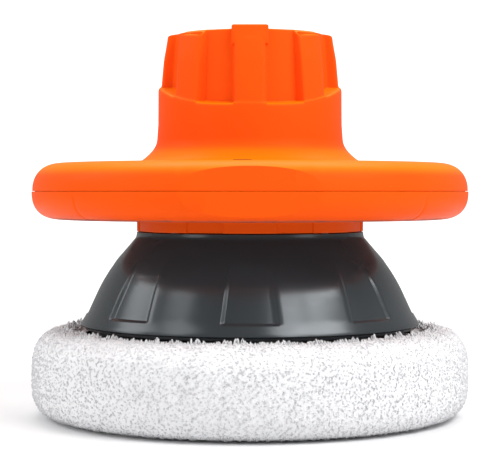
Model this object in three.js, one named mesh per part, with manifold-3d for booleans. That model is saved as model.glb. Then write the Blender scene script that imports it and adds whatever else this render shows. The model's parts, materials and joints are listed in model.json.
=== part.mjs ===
// A palm-held random-orbit polisher: a saucer-shaped two-hand ring with a fluted motor dome,
// a black bell skirt, and a round pad in a stretched bonnet that orbits under it.
// Millimetres, +Z up. The origin is on the motor's axis, in the plane of the bonnet's work face.
// The front of the polisher, with its switch, faces -Y; the mains inlet is at +Y.
import * as THREE from 'three';
import { mergeVertices } from 'three/addons/utils/BufferGeometryUtils.js';
import Module from 'manifold-3d';

const wasm = await Module();
wasm.setup();

// ---------------------------------------------------------------- driving dimensions
const GAP = 0.3; // air between pieces that touch on the real polisher
const EIGHTHS = [0, 1, 2, 3, 4, 5, 6, 7];
const SIDES = 40; // facets round the large turned shells

// Two-hand ring, an oval section swept round the axis and parted at its widest height
const PARTING_Z = 100;
const CREST_R = 84.5; // radius of the ring's highest and lowest circle
const RING_REACH = 13.5; // from that circle out to the rim
const RING_RISE = 12.2; // crest above the parting plane
const RING_DROP = 12.5; // underside below the parting plane
const SHELL_WALL = 2.5;
const FACET_Y = 93.8; // flat faces cut on the front and back of the ring
const FACET_WALL = 2.4;

// Motor dome
const DOME_TOP = 171.2;
const RIB_HALF_WIDTH = 6.8;
const PANEL_LOW_R = 35.4; // floor of the flutes, at the bottom and at the top
const PANEL_HIGH_R = 33.7;
const LEDGE_Z = 137.5; // shoulder under the flutes at the front
const LEDGE_RISE = 8.6; // how much higher the shoulder runs at the two sides

// Neck and bell skirt
const NECK_R = 50.5;
const NECK_PAD_R = 51.1;
const NECK_BOTTOM = 82.1;
const SHROUD_R = 41.5; // bore of the fan chamber
const BELL_WALL = 3;
const BELL_BOTTOM = 38.7;

// Orbiting pad
const ORBIT = 4; // distance of the pad's axis from the motor's axis
const BONNET_R = 97.6;
const BONNET_TOP = 38;
const HEM_R = 77;
const FOAM_R = 90;
const PLATEN_R = 84;
const PLATEN_TOP = 34;

// Motor
const SHAFT_R = 4;
const BORE_R = SHAFT_R + GAP;
const CAN_R = 27;
const CAN_BOTTOM = 104;
const CAN_TOP = 152;
const BRUSH_Z = 154.7;

// Screws
const HOUSING_SCREW_R = 76;
const SKIRT_SCREW_R = 45.8;
const BRACKET_SCREW_R = 50;

// Rocker switch, in the deck in front of the dome
const SWITCH_Y = -66;
const ROCKER_PIVOT_Z = 110.4;
const ROCKER_TILT = THREE.MathUtils.degToRad(8);

// ---------------------------------------------------------------- finishes
const finish = (color, roughness, metalness = 0) => ({ color, roughness, metalness });
const ORANGE = finish(0xff5a1e, 0.35);
const BLACK = finish(0x2a2b2d, 0.35);
const WHITE = finish(0xf6f6f8, 0.95);
const FOAM = finish(0xd9d4c4, 0.9);
const STEEL = finish(0x9a9da1, 0.35, 1);
const ZINC = finish(0xb4b6b8, 0.45, 1);
const COPPER = finish(0xb46a3a, 0.35, 1);
const BRASS = finish(0xb99a55, 0.4, 1);
const FERRITE = finish(0x3c3c3f, 0.7);
const CARBON = finish(0x1c1c1e, 0.8);
const NYLON = finish(0xd8d4cc, 0.5);
const BOARD = finish(0x2f6b45, 0.5);
const RED_LEAD = finish(0xa02a24, 0.5);
const BLUE_LEAD = finish(0x2c4f8f, 0.5);

// ---------------------------------------------------------------- solids from three.js shapes

// Turns a closed three.js geometry into a solid. A profile may be drawn either way round:
// a negative volume means its faces point inwards, and they are turned over.
function solid(geometry) {
  const bare = new THREE.BufferGeometry();
  bare.setAttribute('position', geometry.getAttribute('position'));
  bare.setIndex(geometry.getIndex());
  const merged = mergeVertices(bare, 1e-4);
  const points = merged.getAttribute('position');
  const corner = [0, 1, 2].map(() => new THREE.Vector3());
  const triangles = [];
  let volume = 0;
  const index = merged.getIndex().array;
  for (let i = 0; i < index.length; i += 3) {
    const [a, b, c] = [index[i], index[i + 1], index[i + 2]];
    if (a === b || b === c || c === a) continue;
    [a, b, c].forEach((id, k) => corner[k].fromBufferAttribute(points, id));
    volume += corner[0].dot(corner[1].cross(corner[2]));
    triangles.push([a, b, c]);
  }
  const facingOut = triangles.map(([a, b, c]) => (volume < 0 ? [a, c, b] : [a, b, c]));
  const mesh = new wasm.Mesh({
    numProp: 3,
    vertProperties: Float32Array.from(points.array),
    triVerts: Uint32Array.from(facingOut.flat()),
  });
  return new wasm.Manifold(mesh);
}

// A shape turned about Z from a closed loop of [radius, height] points.
function turned(profile, sides = 48) {
  const loop = [...profile, profile[0]].map(([r, z]) => new THREE.Vector2(r, z));
  return solid(new THREE.LatheGeometry(loop, sides).rotateX(Math.PI / 2));
}

// A ring of square section.
function ring(inner, outer, bottom, top, sides = 32) {
  return turned([[inner, bottom], [outer, bottom], [outer, top], [inner, top]], sides);
}

// An upright cylinder at x, y.
function drum(radius, bottom, top, sides = 16, x = 0, y = 0) {
  const geometry = new THREE.CylinderGeometry(radius, radius, top - bottom, sides);
  return solid(geometry.rotateX(Math.PI / 2).translate(x, y, (bottom + top) / 2));
}

// A cylinder lying along Y at height z.
function lyingDrum(radius, y0, y1, z, sides = 20, x = 0) {
  const geometry = new THREE.CylinderGeometry(radius, radius, y1 - y0, sides);
  return solid(geometry.translate(x, (y0 + y1) / 2, z));
}

// A box between two opposite corners.
function block([x0, y0, z0], [x1, y1, z1]) {
  const geometry = new THREE.BoxGeometry(x1 - x0, y1 - y0, z1 - z0);
  return solid(geometry.translate((x0 + x1) / 2, (y0 + y1) / 2, (z0 + z1) / 2));
}

// An upright prism over an outline of [x, y] points, with an optional round hole on the axis.
function prism(outline, bottom, top, holeRadius = 0) {
  const shape = new THREE.Shape(outline.map(([x, y]) => new THREE.Vector2(x, y)));
  if (holeRadius > 0) {
    shape.holes.push(new THREE.Path().absarc(0, 0, holeRadius, 0, 2 * Math.PI, true));
  }
  const options = { depth: top - bottom, bevelEnabled: false, curveSegments: 10 };
  return solid(new THREE.ExtrudeGeometry(shape, options).translate(0, 0, bottom));
}

// The outline of a ring sector between two angles in degrees.
function sector(inner, outer, from, to, steps = 4) {
  const arc = (radius, a, b) => Array.from({ length: steps + 1 }, (_, i) => {
    const angle = THREE.MathUtils.degToRad(a + ((b - a) * i) / steps);
    return [radius * Math.cos(angle), radius * Math.sin(angle)];
  });
  return [...arc(outer, from, to), ...arc(inner, to, from)];
}

// A round wire or rod swept along a smooth curve.
function swept(curve, radius, sides, steps) {
  const section = new THREE.Shape();
  for (let i = 0; i < sides; i += 1) {
    const angle = (2 * Math.PI * i) / sides;
    section[i ? 'lineTo' : 'moveTo'](radius * Math.cos(angle), radius * Math.sin(angle));
  }
  return solid(new THREE.ExtrudeGeometry(section, { steps, extrudePath: curve }));
}

// A solid turned about Z by an angle in degrees.
const turnedBy = (shape, degrees) => shape.rotate([0, 0, degrees]);

// The point at a radius and an angle in degrees.
function polar(radius, degrees) {
  const angle = THREE.MathUtils.degToRad(degrees);
  return [radius * Math.cos(angle), radius * Math.sin(angle)];
}

// One solid made of several.
const joined = (shapes) => shapes.reduce((all, shape) => all.add(shape));

// ---------------------------------------------------------------- the scene graph
const polisher = new THREE.Group();
const padGroup = new THREE.Group(); // everything that turns about the pad's own axis
padGroup.position.y = -ORBIT;
polisher.add(padGroup);

// Adds one named piece and returns its mesh, so that it can be placed.
function piece(name, shape, look, parent = polisher) {
  const { vertProperties, triVerts } = shape.getMesh();
  const geometry = new THREE.BufferGeometry();
  geometry.setAttribute('position', new THREE.BufferAttribute(vertProperties, 3));
  geometry.setIndex(new THREE.BufferAttribute(triVerts, 1));
  geometry.computeVertexNormals();
  const mesh = new THREE.Mesh(geometry, new THREE.MeshStandardMaterial(look));
  mesh.name = name;
  parent.add(mesh);
  return mesh;
}

// ---------------------------------------------------------------- housing

// Quarter of the ring's oval section, from the rim to the crest (rise > 0) or underside (rise < 0).
function ringQuarter(reach, rise, steps) {
  return Array.from({ length: steps + 1 }, (_, i) => {
    const angle = (Math.PI / 2) * (i / steps);
    return [CREST_R + reach * Math.cos(angle), PARTING_Z + rise * Math.sin(angle)];
  });
}

const INNER_REACH = RING_REACH - SHELL_WALL;
const perimeterScrews = [0, 60, 120, 180, 240, 300].map((a) => polar(HOUSING_SCREW_R, a));
const skirtScrews = [45, 135, 225, 315].map((a) => polar(SKIRT_SCREW_R, a));
const bracketScrews = [90, 210, 330].map((a) => polar(BRACKET_SCREW_R, a));
const clampScrews = [[-10, 68], [10, 68]];
const INLET_HOLE = lyingDrum(6.8, 80, 100, PARTING_Z);

// Keeps what lies between the front and back planes at this distance from the axis.
function facetted(shape, distance) {
  return shape.intersect(block([-120, -distance, 60], [120, distance, 190]));
}

// The eight recesses between the dome's ribs. Each is open outwards, has walls parallel to the
// ribs beside it, and stops at a shoulder that runs higher at the sides of the dome.
function flutes() {
  const apex = RIB_HALF_WIDTH / Math.sin(Math.PI / 8);
  const cutters = EIGHTHS.map((k) => {
    const middle = k * 45 + 22.5;
    const away = Math.cos(THREE.MathUtils.degToRad(middle)) ** 4;
    const outline = [polar(apex, 22.5), [60, RIB_HALF_WIDTH],
      new THREE.Vector2(60, -RIB_HALF_WIDTH).rotateAround(new THREE.Vector2(), Math.PI / 4).toArray()];
    return turnedBy(prism(outline, LEDGE_Z + LEDGE_RISE * away, DOME_TOP + 5), k * 45);
  });
  const core = [[0, 120], [PANEL_LOW_R + 0.9, 120], [PANEL_HIGH_R, DOME_TOP - 1.6],
    [PANEL_HIGH_R - 2, DOME_TOP + 6], [0, DOME_TOP + 6]];
  return joined(cutters).subtract(turned(core, 64));
}

function upperHousing() {
  const seam = PARTING_Z + GAP / 2;
  const rim = ringQuarter(RING_REACH, RING_RISE, 5);
  rim[0][1] = seam;
  const outside = [[0, seam], ...rim, [66, 111], [54, 111.4], [47.3, 114], [43.4, 117.6], [41.9, 120.8],
    [41.2, 140], [38.8, 158.8], [37.1, 168.6], [35.6, 169.8], [0, DOME_TOP]];
  const inside = [[0, 98], [CREST_R + INNER_REACH, 98],
    ...ringQuarter(INNER_REACH, RING_RISE - SHELL_WALL, 3),
    [54, 108.8], [45.5, 111.8], [39, 120], [38.8, 133.5], [32.8, 136.5], [31.2, 167.2], [0, 167.6]];
  const switchSeat = block([-11.5, SWITCH_Y - 9, 109], [11.5, SWITCH_Y + 9, 111.6]);
  const tab = block([-7.95, -37.6, 166.1], [7.95, -30, 171.7]);
  const airSlots = Array.from({ length: 12 }, (_, i) => turnedBy(
    block([11, -1.2, 160], [27, 1.2, 180]), i * 30));
  const bosses = perimeterScrews.map(([x, y]) => drum(4.5, seam + GAP, 110, 8, x, y));
  const holes = perimeterScrews.map(([x, y]) => drum(1.9, 95, 107, 6, x, y));
  return facetted(turned(outside, SIDES), FACET_Y)
    .subtract(facetted(turned(inside, 32), FACET_Y - FACET_WALL))
    .add(switchSeat).add(tab).add(joined(bosses))
    .subtract(joined([flutes(), INLET_HOLE, ...airSlots, ...holes]))
    .subtract(block([-8.8, SWITCH_Y - 6.5, 100], [8.8, SWITCH_Y + 6.5, 116]));
}

function lowerHousing() {
  const seam = PARTING_Z - GAP / 2;
  const rim = ringQuarter(RING_REACH, -RING_DROP, 5);
  rim[0][1] = seam;
  const body = [...rim, [NECK_R, 87], [NECK_R, NECK_BOTTOM], [SHROUD_R, NECK_BOTTOM],
    [SHROUD_R, seam]];
  const floor = ringQuarter(INNER_REACH, SHELL_WALL - RING_DROP, 3).reverse();
  const hollow = [[SHROUD_R + SHELL_WALL, 90], ...floor,
    [CREST_R + INNER_REACH, 105], [SHROUD_R + SHELL_WALL, 105]];
  const shroudTop = turned([[30, 97], [50, 97], [50, 105], [30, 105]], 32);
  const neckPads = EIGHTHS.map((k) => prism(
    sector(48, NECK_PAD_R, k * 45 - 13, k * 45 + 13, 3), NECK_BOTTOM, 87.6));
  const bosses = [
    ...perimeterScrews.map(([x, y]) => drum(6, 89, seam - GAP, 10, x, y)),
    ...bracketScrews.map(([x, y]) => drum(3.8, 89, 97, 8, x, y)),
    ...clampScrews.map(([x, y]) => drum(3.4, 89, 102.2, 8, x, y)),
    ...[-10, 10].map((side) => turnedBy(block([-76, side - 1, 89], [-58, side + 1, 93]), -30)),
  ];
  const holes = [
    ...perimeterScrews.map(([x, y]) => drum(4.2, 80, 93, 12, x, y).add(drum(1.9, 92, 101, 6, x, y))),
    ...bracketScrews.map(([x, y]) => drum(1.9, 91, 101, 6, x, y)),
    ...clampScrews.map(([x, y]) => drum(1.7, 94, 104, 6, x, y)),
    ...skirtScrews.map(([x, y]) => drum(2, 80, 89, 6, x, y)),
  ];
  return facetted(turned(body, SIDES), FACET_Y)
    .subtract(facetted(turned(hollow, 32), FACET_Y - FACET_WALL)).subtract(shroudTop)
    .add(joined(neckPads)).add(joined(bosses))
    .subtract(joined([INLET_HOLE, ...holes]));
}

// Outside of the bell from its collar down to its rim.
const BELL_OUTSIDE = [[51.1, 81.8], [51.1, 78.7], [55.8, 74.1], [61.8, 67.3], [67, 59.1],
  [73.7, 45], [76, 40.9], [76.4, BELL_BOTTOM]];

function bellSkirt() {
  const inside = BELL_OUTSIDE.slice(2).reverse().map(([r, z]) => [r - BELL_WALL, z]);
  const shell = turned([...BELL_OUTSIDE, ...inside, [48.8, 79.3], [40, 79.3], [40, 81.8]], SIDES);
  // Each pressed-in panel is deepest at the bottom and runs out to nothing at the top.
  const skin = turned([[74, 79], [51, 79], [61.1, 67.3], [66, 59.1], [71.9, 45], [85, 45]], SIDES);
  const slope = (half, r) => polar(r, half);
  const panels = EIGHTHS.map((k) => {
    const outline = [slope(-7.4, 40), slope(-9, 90), slope(9, 90), slope(7.4, 40)];
    return turnedBy(prism(outline, 30, 90), k * 45 - 90);
  });
  const holes = skirtScrews.map(([x, y]) => drum(2, 75, 85, 8, x, y));
  return shell.subtract(skin.intersect(joined(panels))).subtract(joined(holes));
}

// A round bush for the mains lead, with a collar each side of the ring's back wall.
function cordInlet() {
  return turned([[3.8, 84], [6.5, 84], [6.5, 88.9], [7.2, 88.9], [7.2, 91], [6.5, 91], [6.5, 94.1],
    [8.3, 94.1], [8.3, 96.3], [3.8, 96.3]], 18);
}

function cordClamp() {
  const bar = block([-14, 64.5, 102.5], [14, 71.5, 105.5]);
  return bar.subtract(joined(clampScrews.map(([x, y]) => drum(1.7, 100, 110, 8, x, y))));
}

// A cross-recessed screw with its head's underside at z = 0 and its shank pointing down.
function screw(headRadius, headHeight, shankRadius, length) {
  const arm = headRadius * 0.55;
  const cross = block([-arm, -0.5, headHeight - 1.1], [arm, 0.5, headHeight + 1])
    .add(block([-0.5, -arm, headHeight - 1.1], [0.5, arm, headHeight + 1]));
  return turned([[0, -length], [shankRadius, 1.5 - length], [shankRadius, 0], [headRadius, 0],
    [headRadius, headHeight * 0.6], [headRadius * 0.7, headHeight], [0, headHeight]], 8).subtract(cross);
}

// Places a row of equal screws. Screws that go in from below are turned over.
function screws(name, shape, places, z, fromBelow) {
  places.forEach(([x, y], i) => {
    const mesh = piece(`${name}_${i + 1}`, shape, ZINC);
    mesh.position.set(x, y, z);
    mesh.rotation.x = fromBelow ? Math.PI : 0;
  });
}

piece('upper_housing', upperHousing(), ORANGE);
piece('lower_housing', lowerHousing(), ORANGE);
piece('bell_skirt', bellSkirt(), BLACK);
const inlet = piece('cord_inlet', cordInlet(), BLACK);
inlet.rotation.x = -Math.PI / 2;
inlet.position.z = PARTING_Z;
piece('cord_clamp', cordClamp(), NYLON);
screws('housing_screw', screw(3.4, 2.6, 1.6, 12), perimeterScrews, 92.7, true);
screws('skirt_screw', screw(2.7, 2.4, 1.5, 8.8), skirtScrews, 79, true);
screws('bracket_screw', screw(3, 2.4, 1.4, 8), bracketScrews, 100.6, false);
screws('clamp_screw', screw(2.6, 2, 1.2, 8), clampScrews, 105.8, false);

// ---------------------------------------------------------------- motor, fixed parts

// The plate over the fan chamber that carries the motor and its lower bearing.
function motorBracket() {
  const plate = turned([[9.8, 94], [13.8, 94], [13.8, 97.3], [44, 97.3], [44, 100.3], [14, 100.3],
    [14, 103.7], [11.2, 103.7], [11.2, 95.7], [9.8, 95.7]], 24);
  const ears = [90, 210, 330].map((a) => turnedBy(block([40, -4, 97.3], [54.5, 4, 100.3]), a));
  const windows = [0, 60, 120, 180, 240, 300].map((a) => prism(sector(20, 38, a - 20, a + 20, 2), 90, 105));
  const holes = bracketScrews.map(([x, y]) => drum(1.9, 90, 105, 6, x, y));
  return plate.add(joined(ears)).subtract(joined([...windows, ...holes]));
}

function motorCan() {
  return turned([[13, CAN_BOTTOM], [CAN_R, CAN_BOTTOM], [CAN_R, CAN_TOP], [CAN_R - 1.6, CAN_TOP],
    [CAN_R - 1.6, CAN_BOTTOM + 1.6], [13, CAN_BOTTOM + 1.6]], 32);
}

// The moulded cover over the commutator, which holds the upper bearing and the brushes.
function motorEndCap() {
  const cover = turned([[5.2, 158], [24.5, 158], [24.5, CAN_TOP + GAP], [CAN_R, CAN_TOP + GAP],
    [CAN_R, 160], [10.5, 160], [10.5, 166.5], [8.4, 166.5], [8.4, 160], [5.2, 160]], 24);
  return cover.subtract(block([-30, -2.5, 150], [30, 2.5, 157]));
}

// A square brass tube lying along X, its inner end near the commutator.
function brushHolder() {
  const tube = block([11, -3.5, BRUSH_Z - 3], [23.6, 3.5, BRUSH_Z + 3]);
  return tube.subtract(block([5, -2.8, BRUSH_Z - 2.3], [30, 2.8, BRUSH_Z + 2.3]));
}

// Three turns of round wire along X, between the brush and the end of its holder.
class BrushSpring extends THREE.Curve {
  getPoint(t, target = new THREE.Vector3()) {
    const turn = 2 * Math.PI * 3 * t;
    return target.set(17.8 + 5 * t, 1.7 * Math.cos(turn), BRUSH_Z + 1.7 * Math.sin(turn));
  }
}

piece('motor_bracket', motorBracket(), ZINC);
piece('motor_can', motorCan(), STEEL);
piece('motor_end_cap', motorEndCap(), NYLON);
piece('upper_bearing', ring(BORE_R, 8.1, 160.3, 166, 16), BRASS);
piece('lower_bearing_outer', ring(9, 10.9, 96, 103, 20), STEEL);
for (const [side, angle] of [['right', 0], ['left', 180]]) {
  const magnet = prism(sector(21.9, 25.1, angle - 65, angle + 65, 8), 110, 146);
  piece(`magnet_${side}`, magnet, FERRITE);
  const brush = block([9.3, -2.5, BRUSH_Z - 2], [17, 2.5, BRUSH_Z + 2]);
  const brushGear = [['brush_holder', brushHolder(), BRASS], ['carbon_brush', brush, CARBON],
    ['brush_spring', swept(new BrushSpring(), 0.3, 4, 27), STEEL]];
  for (const [name, shape, look] of brushGear) {
    piece(`${name}_${side}`, shape, look).rotation.z = THREE.MathUtils.degToRad(angle);
  }
}

// ---------------------------------------------------------------- rotor

// Laminated core with twelve poles.
function armatureCore() {
  const outline = Array.from({ length: 12 }, (_, i) => i * 30).flatMap((a) => [
    polar(21, a - 10), polar(21, a), polar(21, a + 10), polar(11, a + 7), polar(11, a + 23)]);
  return prism(outline, 112, 144, BORE_R);
}

// Copper coils: a packed ring at each end, joined by a bar through each slot of the core.
function armatureWinding() {
  const coilHead = (bottom, top) => turned([[8, bottom], [17.5, bottom], [19.3, (bottom + top) / 2],
    [17.5, top], [8, top]], 12);
  const bars = Array.from({ length: 12 }, (_, i) => turnedBy(
    block([13, -1.1, 111], [19, 1.1, 145.5]), i * 30 + 15));
  return joined([coilHead(144.5, 149.5), coilHead(106.5, 111.5), ...bars]);
}

// Copper drum with a saw cut between its twelve bars.
function commutator() {
  const outline = Array.from({ length: 12 }, (_, i) => i * 30).flatMap((a) => [
    polar(9, a - 13), polar(9, a + 13), polar(8.2, a + 13.5), polar(8.2, a + 16.5)]);
  return prism(outline, 150, 157.7, BORE_R);
}

// Cooling fan: a disc with radial blades under it.
function coolingFan() {
  const disc = turned([[BORE_R, 84.8], [9, 84.8], [9, 90.5], [37, 90.5], [37, 92.3], [BORE_R, 92.3]], 24);
  const blades = Array.from({ length: 9 }, (_, i) => turnedBy(block([8, -0.9, 85.2], [36, 0.9, 91]), i * 40));
  return disc.add(joined(blades));
}

// The steel hub that turns the shaft's spin into the pad's orbit: a pocket for the pad bearing
// on the pad's axis, below a socket for the shaft on the motor's axis.
function eccentricHub() {
  const pocket = drum(17, 52, 69, 24, 0, -ORBIT);
  const saddle = prism([[30, 0], ...sector(0.01, 30, 0, 180, 14).slice(1, 15)], 66, 69);
  return pocket.add(drum(12, 60, 84.2, 20)).add(saddle)
    .subtract(drum(13.3, 50, 66, 24, 0, -ORBIT))
    .subtract(drum(BORE_R, 70.5, 90, 16));
}

const counterweight = prism(sector(12.7, 34, 2, 178, 14), 69 + GAP, 78.5);

// A bearing cage with its balls: a thin ring strung with seven small spheres.
function ballCage(pitchRadius, ballRadius, middle) {
  const balls = Array.from({ length: 7 }, (_, i) => {
    const [x, y] = polar(pitchRadius, (i * 360) / 7);
    return solid(new THREE.IcosahedronGeometry(ballRadius).translate(x, y, middle));
  });
  return joined([ring(pitchRadius - 0.6, pitchRadius + 0.6, middle - 1, middle + 1, 14), ...balls]);
}

piece('motor_shaft', drum(SHAFT_R, 70.8, 165.5, 16), STEEL);
piece('armature_core', armatureCore(), STEEL);
piece('armature_winding', armatureWinding(), COPPER);
piece('commutator', commutator(), COPPER);
piece('lower_bearing_inner', ring(BORE_R, 6.4, 96, 103, 16), STEEL);
piece('cooling_fan', coolingFan(), BLACK);
piece('eccentric_hub', eccentricHub(), ZINC);
piece('counterweight', counterweight, STEEL);
const rotorOrbit = new THREE.Group(); // pieces of the rotor that sit on the pad's axis
rotorOrbit.position.y = -ORBIT;
polisher.add(rotorOrbit);
piece('orbit_bearing_outer', ring(11, 13, 53.3, 61.3, 24), STEEL, rotorOrbit);
piece('orbit_bearing_cage', ballCage(9.2, 1.45, 57.3), STEEL, rotorOrbit);

// ---------------------------------------------------------------- pad, about its own axis

// Steel spindle: a pin through the bearing, a shoulder under it, and a flange on the platen.
function padSpindle() {
  return turned([[3, 41.3], [20, 41.3], [20, 45], [8, 45], [8, 53], [5, 53], [5, 62], [4.3, 62],
    [4.3, 63.4], [5, 63.4], [5, 65], [3, 65]], 20);
}

// Moulded platen with a raised boss under the spindle and eight stiffening ribs.
function backingPlate() {
  const plate = turned([[3, 31], [6, 31], [PLATEN_R - 2, 31], [PLATEN_R, 33], [PLATEN_R - 1, PLATEN_TOP],
    [24, PLATEN_TOP], [22.5, 41], [3, 41]], 32);
  const ribs = EIGHTHS.map((k) => turnedBy(block([20, -1.2, 33], [61, 1.2, 38]), k * 45));
  const hexRecess = drum(6.2, 25, 35.6, 6);
  return plate.add(joined(ribs)).subtract(hexRecess);
}

// Hexagon-headed bolt, from under the platen up into the spindle.
const padBolt = drum(5.6, 31.2, 35.2, 6).add(drum(2.6, 34, 58, 12));

// Foam disc with rounded edges, and a shallow hollow over the bolt's head.
function foamPad() {
  return turned([[0, 4], [84, 4], [88, 6.2], [FOAM_R, 10], [FOAM_R, 25], [88.5, 28.6],
    [85, 30.6], [0, 30.6]], 32);
}

// Terry bonnet stretched over the foam, its hem gathered on the platen's back.
function bonnet() {
  return turned([[0, 0], [86, 0], [92.6, 2.2], [96.4, 6.4], [BONNET_R, 11], [BONNET_R, 27], [95, 33],
    [90.4, 36.6], [84, BONNET_TOP], [HEM_R, BONNET_TOP], [HEM_R, 36.4], [80.4, 36.4], [80.4, 34.3],
    [86.2, 34.3], [90.4, 29.4], [90.4, 9.8], [88.3, 5.8], [84.2, 3.7], [0, 3.7]], 32);
}

// Round elastic in the hem.
function bonnetElastic() {
  return turned([[78.1, 35.2], [79, 34.4], [79.9, 35.2], [79, 36]], 32);
}

// Retaining ring in the spindle's groove, with its mouth towards +X.
function spindleClip() {
  return ring(4.6, 7, 62.3, 63.1, 16).subtract(block([0, -1.6, 60], [10, 1.6, 66]));
}

piece('orbit_bearing_inner', ring(5.3, 7.4, 53.3, 61.3, 20), STEEL, padGroup);
piece('pad_spindle', padSpindle(), STEEL, padGroup);
piece('spindle_clip', spindleClip(), STEEL, padGroup);
piece('backing_plate', backingPlate(), BLACK, padGroup);
piece('pad_bolt', padBolt, ZINC, padGroup);
piece('foam_pad', foamPad(), FOAM, padGroup);
piece('bonnet', bonnet(), WHITE, padGroup);
piece('bonnet_elastic', bonnetElastic(), WHITE, padGroup);

// ---------------------------------------------------------------- switch and wiring

// The switch's case, with a bezel that rests on its seat in the deck and a well for the rocker.
function switchBody() {
  const case_ = block([-8.5, SWITCH_Y - 6.2, 96], [8.5, SWITCH_Y + 6.2, 112]);
  const bezel = block([-10, SWITCH_Y - 7.5, 111.9], [10, SWITCH_Y + 7.5, 112.4]);
  const well = block([-7.7, SWITCH_Y - 5.2, 106.6], [7.7, SWITCH_Y + 5.2, 115]);
  const terminals = [-5, 5].map((x) => block([x - 0.4, SWITCH_Y - 2, 92], [x + 0.4, SWITCH_Y + 2, 97]));
  return case_.add(bezel).add(joined(terminals)).subtract(well);
}

// The rocker's top is a shallow roof: the half that stands up lies level.
function switchRocker() {
  const half = 7.2;
  const drop = half * Math.tan(ROCKER_TILT);
  const outline = [[-half, 2.7 - drop], [0, 2.7], [half, 2.7 - drop],
    [half - 0.6, -1.2], [0, -3], [0.6 - half, -1.2]];
  return prism(outline, -4.8, 4.8);
}

const rocker = piece('switch_rocker', switchRocker(), BLACK);
rocker.rotation.set(Math.PI / 2, ROCKER_TILT, 0, 'YXZ');
rocker.position.set(0, SWITCH_Y, ROCKER_PIVOT_Z);
piece('switch_body', switchBody(), BLACK);

// The power board lies in the ring's hollow at the back left, on two low rails.
const boardGroup = new THREE.Group();
boardGroup.rotation.z = THREE.MathUtils.degToRad(150);
polisher.add(boardGroup);
piece('circuit_board', block([55, -17, 93.3], [81, 17, 94.9]), BOARD, boardGroup);
piece('capacitor', block([58, -14, 95.2], [66, 2, 105.5]), finish(0xc8b23c, 0.5), boardGroup);
piece('rectifier', block([70, -9, 95.2], [75, 6, 103.5]), CARBON, boardGroup);

// A lead is a smooth curve through points given as [angle in degrees, radius, height].
function lead(name, stops, look) {
  const points = stops.map(([angle, radius, z]) => new THREE.Vector3(...polar(radius, angle), z));
  piece(name, swept(new THREE.CatmullRomCurve3(points), 1.1, 8, 3 * stops.length - 3), look);
}

lead('lead_live', [[85, 62, 100], [72, 60.5, 97], [40, 60, 94], [0, 60, 94], [-40, 60, 94],
  [-68, 61, 94.5], [-82, 64, 94.5]], RED_LEAD);
lead('lead_switched', [[-98, 64, 94.5], [-112, 61, 94.5], [-140, 60, 94], [-170, 61, 95],
  [172, 63, 98], [162, 64, 100]], RED_LEAD);
lead('lead_motor_left', [[152, 69, 106.8], [156, 60, 106.6], [165, 48, 106], [173, 39, 108],
  [178, 32.5, 115], [180, 29.6, 124], [180, 29.4, 136], [180, 29.4, 150], [180, 28.4, 154.3],
  [180, 24.4, 154.8]], BLUE_LEAD);
lead('lead_motor_right', [[140, 66.5, 106.9], [136, 56, 106.9], [118, 44, 106], [80, 38, 106],
  [40, 38, 107], [14, 36, 111], [2, 31.5, 119], [0, 29.5, 127], [0, 29.4, 138], [0, 29.4, 150],
  [0, 28.4, 154.3], [0, 24.4, 154.8]], BLUE_LEAD);

export default polisher;
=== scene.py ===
# %% [markdown]
# A palm-held polisher: two orange shells that meet in a two-hand ring, a fluted motor dome on top, a black
# bell under it, and a pad that orbits inside a white terry bonnet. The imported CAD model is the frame, and
# every piece made here rides on one of its bodies.

# %% Load the frame
import json
import math

import bmesh
import bpy
import numpy as np
from mathutils import Matrix, Vector


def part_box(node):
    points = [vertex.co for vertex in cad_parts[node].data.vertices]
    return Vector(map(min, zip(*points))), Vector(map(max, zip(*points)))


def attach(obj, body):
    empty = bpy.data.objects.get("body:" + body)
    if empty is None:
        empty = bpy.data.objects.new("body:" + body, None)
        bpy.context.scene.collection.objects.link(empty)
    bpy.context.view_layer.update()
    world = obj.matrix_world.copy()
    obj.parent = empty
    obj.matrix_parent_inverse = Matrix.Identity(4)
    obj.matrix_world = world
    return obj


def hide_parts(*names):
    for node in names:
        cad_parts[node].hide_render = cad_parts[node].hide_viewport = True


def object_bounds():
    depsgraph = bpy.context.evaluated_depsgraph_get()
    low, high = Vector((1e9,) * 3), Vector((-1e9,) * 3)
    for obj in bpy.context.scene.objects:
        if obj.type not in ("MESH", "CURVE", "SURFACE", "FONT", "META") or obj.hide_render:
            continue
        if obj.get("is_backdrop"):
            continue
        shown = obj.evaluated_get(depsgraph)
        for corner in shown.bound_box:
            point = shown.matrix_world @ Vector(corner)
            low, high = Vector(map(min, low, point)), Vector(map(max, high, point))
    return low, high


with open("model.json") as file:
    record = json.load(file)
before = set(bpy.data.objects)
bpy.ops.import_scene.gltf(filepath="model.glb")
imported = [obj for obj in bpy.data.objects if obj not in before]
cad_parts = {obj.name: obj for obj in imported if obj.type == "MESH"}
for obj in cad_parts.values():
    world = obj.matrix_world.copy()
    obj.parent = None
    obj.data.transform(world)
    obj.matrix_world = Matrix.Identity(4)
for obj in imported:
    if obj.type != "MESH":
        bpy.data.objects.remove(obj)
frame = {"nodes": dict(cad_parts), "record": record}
cad_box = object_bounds()
MM = 0.001  # outlines are written in millimetres and become metres when a mesh is made

# %% [markdown]
# The camera stands level with the ring and looks a little down, about 0.73 m from the motor's axis, with a
# long lens, so that the round parts show only a slight perspective. A nearer camera with a shorter lens
# would bow the ring's edges more. It is made first, because everything else is judged through it.

# %% Camera
EYE_DISTANCE = 0.733
EYE_HEIGHT = 0.100
LOOK_DOWN = math.radians(1.457)
LENS = 116.6


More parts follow.
